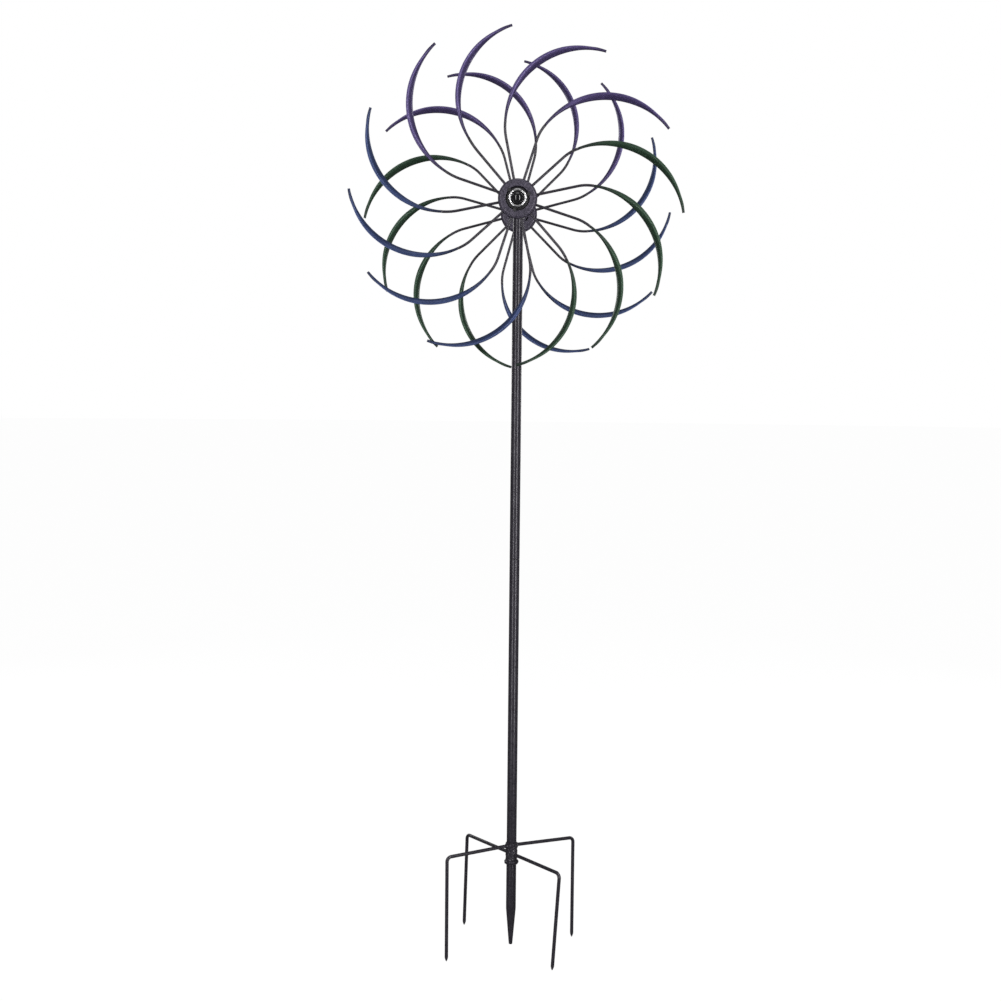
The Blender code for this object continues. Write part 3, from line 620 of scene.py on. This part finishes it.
def axle_housing():
    """The cross tube with the weld that joins it to the pole."""
    tube_mesh = outward(
        "axle_housing",
        tube(AXLE_RADIUS + GAP, HOUSING_RADIUS, -HOUSING_HALF_LENGTH, HOUSING_HALF_LENGTH),
        0.0009,
    )
    bm = bmesh.new()
    bm.from_mesh(tube_mesh)
    path = []
    for i in range(64):
        turn = math.tau * i / 64
        x = (POLE_RADIUS + 0.0005) * math.cos(turn)
        y = (POLE_RADIUS + 0.0005) * math.sin(turn)
        path.append(Vector((x, y, -math.sqrt(HOUSING_RADIUS**2 - x**2) - 0.0004)))
    bead(bm, path, Vector((0.0, 0.0, -HOUSING_RADIUS)), 0.0017, 0.4)
    return mesh_from(bm, "axle_housing")


def axle():
    end = WHEEL_OFFSET + AXLE_END
    profile = [(0.0, -end), (AXLE_RADIUS, -end), (AXLE_RADIUS, end), (0.0, end)]
    return outward("axle", profile, 0.0008)


def make_stand():
    lift = Matrix.Translation((0.0, 0.0, AXLE_HEIGHT))
    place("stake_shaft", ground_stake(), "pole_coat", "stand", ["ground_stake"])
    place("welded_collar", fork_collar(), "pole_coat", "stand", ["fork_collar"])
    for name, angle, height, arm, droop, leans in FORK_RODS:
        rod_mesh = fork_rod(name, angle, height, arm, droop, leans)
        place(f"{name}_smooth", rod_mesh, "pole_coat", "stand", [name])
    lower = pole_section("lower_pole", COLLAR_TOP + GAP, POLE_JOINT_HEIGHT)
    place("lower_pole_tube", lower, "pole_coat", "stand", ["lower_pole"])
    place("upper_pole_tube", upper_pole(), "pole_coat", "stand", ["upper_pole"])
    place("axle_cross_tube", axle_housing(), "pole_coat", "stand", ["axle_housing"], lift)
    place("axle_bar", axle(), "bare_steel", "stand", ["axle"], lift)


# Wheels. Every piece is made facing -Y, in the wheel's own place on the axle


def from_pole(height):
    return WHEEL_OFFSET + height


def in_wheel(radius, angle, height=0.0):
    """A point of the wheel: angle runs from +X towards +Z as seen from outside."""
    return Vector((radius * math.cos(angle), -from_pole(height), radius * math.sin(angle)))


class BladeArc:
    """The arc of one blade's centre line, from its root by a spoke to its tip straight above the axle."""

    def __init__(self):
        tip_angle = math.pi / 2
        self.root = in_wheel(BLADE_ROOT_RADIUS, tip_angle + SPOKE_LEAD)
        tip = in_wheel(BLADE_TIP_RADIUS, tip_angle)
        chord = tip - self.root
        middle = (tip + self.root) / 2
        across = Vector((chord.z, 0.0, -chord.x)).normalized()
        inset = math.sqrt(BLADE_BEND_RADIUS**2 - (chord.length / 2) ** 2)
        self.centre = middle + across * inset
        self.sweep = 2 * math.asin(chord.length / 2 / BLADE_BEND_RADIUS)
        self.start = math.atan2(self.root.z - self.centre.z, self.root.x - self.centre.x)

    def outward_at(self, share):
        angle = self.start - self.sweep * share
        return Vector((math.cos(angle), 0.0, math.sin(angle)))

    def point_at(self, share):
        return self.centre + self.outward_at(share) * BLADE_BEND_RADIUS

    def length(self):
        return self.sweep * BLADE_BEND_RADIUS


ARC = BladeArc()
OUTWARD = Vector((0.0, -1.0, 0.0))


def eased(value):
    """0 below 0, 1 above 1, and smooth between."""
    value = min(1.0, max(0.0, value))
    return value * value * (3 - 2 * value)


def trough_section(half_width, depth, wrap, steps=14):
    """Sheet rolled round an ellipse, from -wrap to wrap either side of its lowest point, with
    rounded rims. It is open upwards."""
    angles = [wrap * (2 * i / steps - 1) for i in range(steps + 1)]
    outside = [(half_width * math.sin(a), -depth * math.cos(a)) for a in angles]
    inner_width = half_width - BLADE_SHEET
    inner_depth = depth - BLADE_SHEET
    inside = [(inner_width * math.sin(a), -inner_depth * math.cos(a)) for a in reversed(angles)]
    rim_width = half_width - BLADE_SHEET / 2
    rim_depth = depth - BLADE_SHEET / 2
    crown = wrap + 0.35 * BLADE_SHEET / rim_depth
    rim = (rim_width * math.sin(crown), -rim_depth * math.cos(crown))
    return outside + [rim] + inside + [(-rim[0], rim[1])]


def blade_ring(share, hand):
    """The blade's section at a share of its length. Hand is 1 where the trough bulges away from
    the pole, and -1 where it bulges towards it."""
    leading_side = OUTWARD * hand
    swell = math.sin(math.pi * share**BLADE_SKEW) ** BLADE_SWELL
    half_width = BLADE_END_HALF_WIDTH + (BLADE_MIDDLE_HALF_WIDTH - BLADE_END_HALF_WIDTH) * swell
    depth = BLADE_END_DEPTH + (BLADE_MIDDLE_DEPTH - BLADE_END_DEPTH) * swell
    wrap = math.radians(90 + 62 * eased(1 - share / 0.13) + 35 * eased((share - 0.90) / 0.10))
    pitch = BLADE_PITCH * math.sin(math.pi / 2 * min(1.0, share / BLADE_TWIST_SHARE))
    pitch *= 1 - BLADE_TIP_UNTWIST * eased((share - 0.86) / 0.14)
    across = ARC.outward_at(share) * math.cos(pitch) + leading_side * math.sin(pitch)
    up = ARC.outward_at(share) * math.sin(pitch) - leading_side * math.cos(pitch)
    middle = ARC.point_at(share) - up * BLADE_SETBACK
    return [middle + across * x + up * y for x, y in trough_section(half_width, depth, wrap)]


def blade(hand, stations=72):
    """A trough rolled almost shut round its rod, wide and pitched in its middle, narrow at its tip."""
    shares = [i / (stations - 1) for i in range(stations)]
    rings = [blade_ring(share, hand) for share in shares]
    bm = bmesh.new()
    loft(bm, rings)
    layer = bm.loops.layers.uv.new("along")
    around = len(rings[0])
    bm.verts.index_update()
    for face in bm.faces:
        for loop in face.loops:
            station, place_around = divmod(loop.vert.index, around)
            loop[layer].uv = (shares[station], place_around / around)
    return mesh_from(bm, "blade")


def blade_setting(bend, reach):
    """How one blade differs from the plain blade: turned and lengthened about its root."""
    bent = Matrix.Rotation(-math.radians(bend), 4, "Y")
    lengthened = Matrix.Diagonal((reach, 1.0, reach, 1.0))
    return Matrix.Translation(ARC.root) @ bent @ lengthened @ Matrix.Translation(-ARC.root)


def weld_spot(bm, centre, heading, length, width):
    """A small lumpy weld, longest along heading."""
    made = bmesh.ops.create_icosphere(bm, subdivisions=3, radius=1.0)["verts"]
    frame_of = heading.to_track_quat("Z", "Y").to_matrix().to_4x4()
    shape = Matrix.Translation(centre) @ frame_of @ Matrix.Diagonal((width, width, length, 1.0))
    for vertex in made:
        lump = 1 + 0.3 * noise.noise(vertex.co * 1.7 + centre * 300)
        vertex.co = shape @ (vertex.co * lump)


def spoke_path(setting):
    """The full-size part of one spoke: straight out from the axle, then bent into line with its
    blade's root. It comes with the heading at the root."""
    axle_centre = in_wheel(0.0, 0.0)
    heading = (setting @ ARC.point_at(0.02) - ARC.root).normalized()
    end = ARC.root - heading * SPOKE_NECK_START
    corner = end - heading * SPOKE_BEND_REACH
    out = (corner - axle_centre).normalized()
    bend_start = corner - out * SPOKE_BEND_REACH
    path = [axle_centre + out * SPOKE_START]
    for k in range(11):
        t = k / 10
        path.append(bend_start * (1 - t) ** 2 + corner * (2 * t * (1 - t)) + end * t**2)
    return path, heading


def spoke_spider(settings):
    """Twelve rods on one ring. The thin end of each follows its blade inside the rolled sheet."""
    overlap = SPOKE_OVERLAP / ARC.length()
    bm = bmesh.new()
    for i, setting in enumerate(settings):
        before = len(bm.verts)
        path, heading = spoke_path(setting)
        radii = [SPOKE_RADIUS] * len(path)
        path += [ARC.root - heading * 0.0012, ARC.root - heading * 0.0008]
        radii += [SPOKE_RADIUS * 0.92, SPOKE_NECK_RADIUS]
        for k in range(1, 11):
            path.append(setting @ ARC.point_at(overlap * k / 10))
            radii.append(SPOKE_NECK_RADIUS)
        rod(bm, path, radii, (0.0, -1.0, 0.0), 16)
        weld_spot(bm, ARC.root - heading * 0.0006, heading, 0.0018, 0.0024)
        bm.verts.ensure_lookup_table()
        spin = Matrix.Rotation(math.tau * i / BLADE_COUNT, 4, "Y")
        bmesh.ops.transform(bm, matrix=spin, verts=bm.verts[before:])
    ring = turned("ring", tube(BARREL_RADIUS + GAP, 0.0175, from_pole(-0.0024), from_pole(0.0024)), OUTWARD)
    bm.from_mesh(ring)
    return mesh_from(bm, "spoke_spider")


def outer_plate():
    """A dished disc with a rolled rim, a recess round the barrel and notches for the cap's lugs."""
    hole = BARREL_RADIUS + GAP
    face = from_pole(HUB_FACE)
    rim = from_pole(HUB_RIM)
    floor = from_pole(HUB_FLOOR)
    profile = [
        (hole, floor - HUB_SHEET),
        (HUB_RECESS_RADIUS + HUB_SHEET - 0.0002, floor - HUB_SHEET),
        (HUB_RECESS_RADIUS + HUB_SHEET, face - HUB_SHEET),
        (HUB_FACE_RADIUS - 0.0002, face - HUB_SHEET),
        (HUB_RADIUS, rim - HUB_SHEET),
        (HUB_RADIUS, rim),
        (HUB_FACE_RADIUS, face),
        (HUB_RECESS_RADIUS + 0.0002, face),
        (HUB_RECESS_RADIUS - 0.0002, floor),
        (hole, floor),
    ]
    plate = outward("hub_outer_plate", profile, 0.0011)
    low = (NOTCH_START, -from_pole(HUB_FACE * 2), -NOTCH_WIDTH / 2)
    high = (NOTCH_REACH, -from_pole(0.0), NOTCH_WIDTH / 2)
    for angle in LUG_ANGLES:
        plate = combine(plate, block("notch", low, high, angle, 0.0018), "DIFFERENCE")
    return plate


def inner_plate():
    """The matching disc on the pole's side, with three slots."""
    hole = BARREL_RADIUS + GAP
    face = from_pole(-HUB_BACK_FACE)
    rim = from_pole(-HUB_BACK_RIM)
    profile = [
        (hole, face),
        (HUB_FACE_RADIUS, face),
        (HUB_RADIUS, rim),
        (HUB_RADIUS, rim + HUB_SHEET),
        (HUB_FACE_RADIUS - 0.0002, face + HUB_SHEET),
        (hole, face + HUB_SHEET),
    ]
    plate = outward("hub_inner_plate", profile, 0.0011)
    low = (SLOT_RADIUS - SLOT_WIDTH / 2, -from_pole(0.0), -SLOT_LENGTH / 2)
    high = (SLOT_RADIUS + SLOT_WIDTH / 2, -from_pole(-HUB_BACK_FACE * 2), SLOT_LENGTH / 2)
    for angle in SLOT_ANGLES:
        plate = combine(plate, block("slot", low, high, angle, 0.0013), "DIFFERENCE")
    return plate


def hub_barrel():
    profile = [
        (BARREL_BORE, from_pole(BARREL_START)),
        (BARREL_RADIUS, from_pole(BARREL_START)),
        (BARREL_RADIUS, from_pole(BARREL_END)),
        (BEARING_SEAT_RADIUS, from_pole(BARREL_END)),
        (BEARING_SEAT_RADIUS, from_pole(BEARING_SHOULDER)),
        (BARREL_BORE, from_pole(BEARING_SHOULDER)),
    ]
    return outward("hub_barrel", profile)


def hub_bush():
    bore = SPACER_RADIUS + GAP
    sleeve = BARREL_BORE - GAP
    barrel_face = from_pole(BARREL_START) - GAP
    profile = [
        (bore, barrel_face - BUSH_FLANGE),
        (BUSH_FLANGE_RADIUS, barrel_face - BUSH_FLANGE),
        (BUSH_FLANGE_RADIUS, barrel_face),
        (sleeve, barrel_face),
        (sleeve, barrel_face + BUSH_LENGTH),
        (bore, barrel_face + BUSH_LENGTH),
    ]
    return outward("hub_bush", profile)


def spacer_tube():
    profile = tube(AXLE_RADIUS + GAP, SPACER_RADIUS, HOUSING_HALF_LENGTH + GAP, from_pole(BEARING_SHOULDER))
    return outward("spacer_tube", profile)


def cap_cup():
    """A low cup round the barrel's end, with three rounded lugs in the disc's notches."""
    hole = BARREL_RADIUS + GAP
    seat = BEZEL_RADIUS + GAP
    floor = from_pole(HUB_FLOOR) + GAP
    shelf = from_pole(BEZEL_START) - GAP
    profile = [
        (hole, floor),
        (CUP_FLANGE_RADIUS, floor),
        (CUP_FLANGE_RADIUS, shelf),
        (CUP_WALL_RADIUS, shelf + 0.0006),
        (CUP_WALL_RADIUS, from_pole(CUP_TOP)),
        (seat, from_pole(CUP_TOP)),
        (seat, shelf),
        (hole, shelf),
    ]
    cup = outward("cap_cup", profile, 0.0005)
    half = NOTCH_WIDTH / 2 - GAP
    low = ((seat + CUP_WALL_RADIUS) / 2, -from_pole(LUG_TOP), -half)
    high = (LUG_REACH, -floor - GAP, half)
    for angle in LUG_ANGLES:
        cup = combine(cup, block("lug", low, high, angle, 0.0016), "UNION")
    return cup


def cap_bezel():
    """A bright ring with a rolled lip round the dome."""
    top = from_pole(BEZEL_TOP)
    profile = [
        (BEZEL_LIP_RADIUS, from_pole(BEZEL_START)),
        (BEZEL_RADIUS, from_pole(BEZEL_START)),
        (BEZEL_RADIUS, top),
        (BEZEL_LIP_RADIUS, top),
    ]
    return turned("cap_bezel", softened(profile, 0.0018, 6), (0.0, -1.0, 0.0))


def cap_dome():
    """The dark dome inside the bezel."""
    seat = from_pole(BARREL_END) + GAP
    centre = from_pole(DOME_CENTRE)
    inner = DOME_RADIUS - 0.0013
    rings = 20
    angles = [math.pi / 2 * i / rings for i in range(rings)]
    outside = [(DOME_RADIUS * math.cos(a), centre + DOME_RADIUS * math.sin(a)) for a in angles]
    inside = [(inner * math.cos(a), centre + inner * math.sin(a)) for a in reversed(angles)]
    foot = [(inner, seat), (DOME_RADIUS, seat)]
    profile = [(0.0, centre + inner)] + inside + foot + outside + [(0.0, centre + DOME_RADIUS)]
    return turned("cap_dome", profile, (0.0, -1.0, 0.0))


WHEEL_PIECES = (
    ("hub_face_disc", outer_plate, "hub_coat", "hub_outer_plate"),
    ("hub_back_disc", inner_plate, "hub_coat", "hub_inner_plate"),
    ("hub_core", hub_barrel, "bare_steel", "hub_barrel"),
    ("bush", hub_bush, "bush_nylon", "hub_bush"),
    # The cap cup's near-black plastic is partly painted shade for the shaded recess round the bezel.
    ("cap_ring", cap_cup, "cup_plastic", "cap_cup"),
    ("bright_bezel", cap_bezel, "bezel_chrome", "cap_bezel"),
    ("dark_dome", cap_dome, "dome_plastic", "cap_dome"),
)


def make_wheel(side, facts):
    body = f"{side}_wheel"
    still = Matrix.Translation((0.0, 0.0, AXLE_HEIGHT)) @ Matrix.Rotation(facts["half_turn"], 4, "Z")
    moving = still @ Matrix.Rotation(-facts["turn"], 4, "Y")
    settings = [blade_setting(bend, reach) for bend, reach in zip(facts["bends"], facts["reaches"])]
    for name, make, slot, node in WHEEL_PIECES:
        place(f"{side}_{name}", make(), slot, body, [f"{side}_{node}"], moving)
    place(f"{side}_spokes", spoke_spider(settings), "pole_coat", body, [f"{side}_spoke_spider"], moving)
    place(f"{side}_sleeve", spacer_tube(), "pole_coat", "stand", [f"{side}_spacer_tube"], still)
    for i, setting in enumerate(settings):
        place_of = moving @ Matrix.Rotation(math.tau * i / BLADE_COUNT, 4, "Y") @ setting
        label = f"{i + 1:02d}"
        name = f"{side}_vane_{label}"
        slot = f"blade_{BLADE_COLOURS[i]}"
        place(name, blade(facts["hand"]), slot, body, [f"{side}_blade_{label}"], place_of)


def finish_hidden_nodes():
    """The inner pieces keep their CAD shape and take their slot's material."""
    slots = {part["node"]: part["material_slot"] for part in frame["record"]["subparts"]}
    for name, obj in frame["nodes"].items():
        for material_slot in obj.material_slots:
            material_slot.link = "OBJECT"
            material_slot.material = MATERIALS[slots[name]]


# Studio


def make_floor():
    """A pale floor that glows to the camera, so it stays as white as the background."""
    bm = bmesh.new()
    bmesh.ops.create_circle(bm, cap_ends=True, segments=64, radius=60.0)
    mesh = mesh_from(bm, "floor")
    obj = bpy.data.objects.new("floor", mesh)
    obj.location = (0.0, 0.0, -PRONG_DEPTH - 0.0015)
    bpy.context.scene.collection.objects.link(obj)
    material, tree, shader = new_material("pale_floor")
    patches = noise_node(tree, 1.5)
    colour = mixed_colour(tree, patches.outputs["Fac"], (0.86, 0.86, 0.86), (0.90, 0.90, 0.90))
    tree.links.new(colour, shader.inputs["Base Color"])
    shader.inputs["Roughness"].default_value = 0.9
    glow = tree.nodes.new("ShaderNodeEmission")
    glow.inputs["Strength"].default_value = 1.05
    path = tree.nodes.new("ShaderNodeLightPath")
    share = tree.nodes.new("ShaderNodeMath")
    share.operation = "MULTIPLY"
    share.inputs[1].default_value = 0.93
    tree.links.new(path.outputs["Is Camera Ray"], share.inputs[0])
    mix = tree.nodes.new("ShaderNodeMixShader")
    tree.links.new(share.outputs["Value"], mix.inputs["Fac"])
    tree.links.new(shader.outputs["BSDF"], mix.inputs[1])
    tree.links.new(glow.outputs["Emission"], mix.inputs[2])
    tree.links.new(mix.outputs["Shader"], tree.nodes["Material Output"].inputs["Surface"])
    mesh.materials.append(material)
    obj.visible_glossy = False


def softbox(name, location, target, width, height, watts):
    data = bpy.data.lights.new(name, "AREA")
    data.shape = "RECTANGLE"
    data.size = width
    data.size_y = height
    data.energy = watts
    obj = bpy.data.objects.new(name, data)
    obj.location = location
    obj.rotation_euler = (Vector(target) - Vector(location)).to_track_quat("-Z", "Y").to_euler()
    obj.visible_camera = False
    bpy.context.scene.collection.objects.link(obj)


def make_lights():
    """Two tall strips in front, the right one brighter, and softer lights behind and above."""
    softbox("strip_left", (-1.10, -1.90, 1.15), (0.0, 0.0, 0.9), 0.28, 3.3, 34.0)
    softbox("strip_right", (1.29, -1.78, 1.15), (0.0, 0.0, 0.9), 0.28, 3.3, 46.0)
    for side, name in ((-1, "left"), (1, "right")):
        softbox(f"back_{name}", (side * 2.2, 2.4, 1.6), (0.0, 0.0, 0.9), 0.6, 1.8, 20.0)
    softbox("overhead", (0.0, -0.4, 3.6), (0.0, 0.0, 0.9), 1.6, 1.6, 12.0)


def make_world():
    """White behind the object, and a dim even light for everything else."""
    world = bpy.data.worlds.new("studio")
    bpy.context.scene.world = world
    world.use_nodes = True
    tree = world.node_tree
    tree.nodes.clear()
    path = tree.nodes.new("ShaderNodeLightPath")
    lit = tree.nodes.new("ShaderNodeBackground")
    lit.inputs["Color"].default_value = (1.0, 1.0, 1.0, 1.0)
    lit.inputs["Strength"].default_value = 0.12
    seen = tree.nodes.new("ShaderNodeBackground")
    seen.inputs["Color"].default_value = (1.0, 1.0, 1.0, 1.0)
    seen.inputs["Strength"].default_value = 1.0
    mix = tree.nodes.new("ShaderNodeMixShader")
    output = tree.nodes.new("ShaderNodeOutputWorld")
    tree.links.new(path.outputs["Is Camera Ray"], mix.inputs["Fac"])
    tree.links.new(lit.outputs["Background"], mix.inputs[1])
    tree.links.new(seen.outputs["Background"], mix.inputs[2])
    tree.links.new(mix.outputs["Shader"], output.inputs["Surface"])


CAMERA_PLACE = (0.0339, -2.8, 0.906)
CAMERA_DIP = 0.0723
CAMERA_YAW = -0.0223
CAMERA_ROLL = 0.0099
CAMERA_LENS = 51.94


def make_camera():
    level = Vector((math.cos(CAMERA_YAW), -math.sin(CAMERA_YAW), 0.0))
    ahead = Vector((math.sin(CAMERA_YAW), math.cos(CAMERA_YAW), 0.0))
    forward = ahead * math.cos(CAMERA_DIP) - Vector((0.0, 0.0, 1.0)) * math.sin(CAMERA_DIP)
    upward = level.cross(forward)
    right = level * math.cos(CAMERA_ROLL) + upward * math.sin(CAMERA_ROLL)
    up = upward * math.cos(CAMERA_ROLL) - level * math.sin(CAMERA_ROLL)
    data = bpy.data.cameras.new("camera")
    data.lens = CAMERA_LENS
    data.sensor_width = 36.0
    obj = bpy.data.objects.new("camera", data)
    axes = Matrix((right, up, -forward)).transposed()
    obj.matrix_world = Matrix.Translation(CAMERA_PLACE) @ axes.to_4x4()
    bpy.context.scene.collection.objects.link(obj)
    bpy.context.scene.camera = obj


finish_hidden_nodes()
make_stand()
for wheel_side, wheel_facts in WHEELS.items():
    make_wheel(wheel_side, wheel_facts)
make_floor()
make_lights()
make_world()
make_camera()
bpy.context.scene.view_settings.view_transform = "Standard"
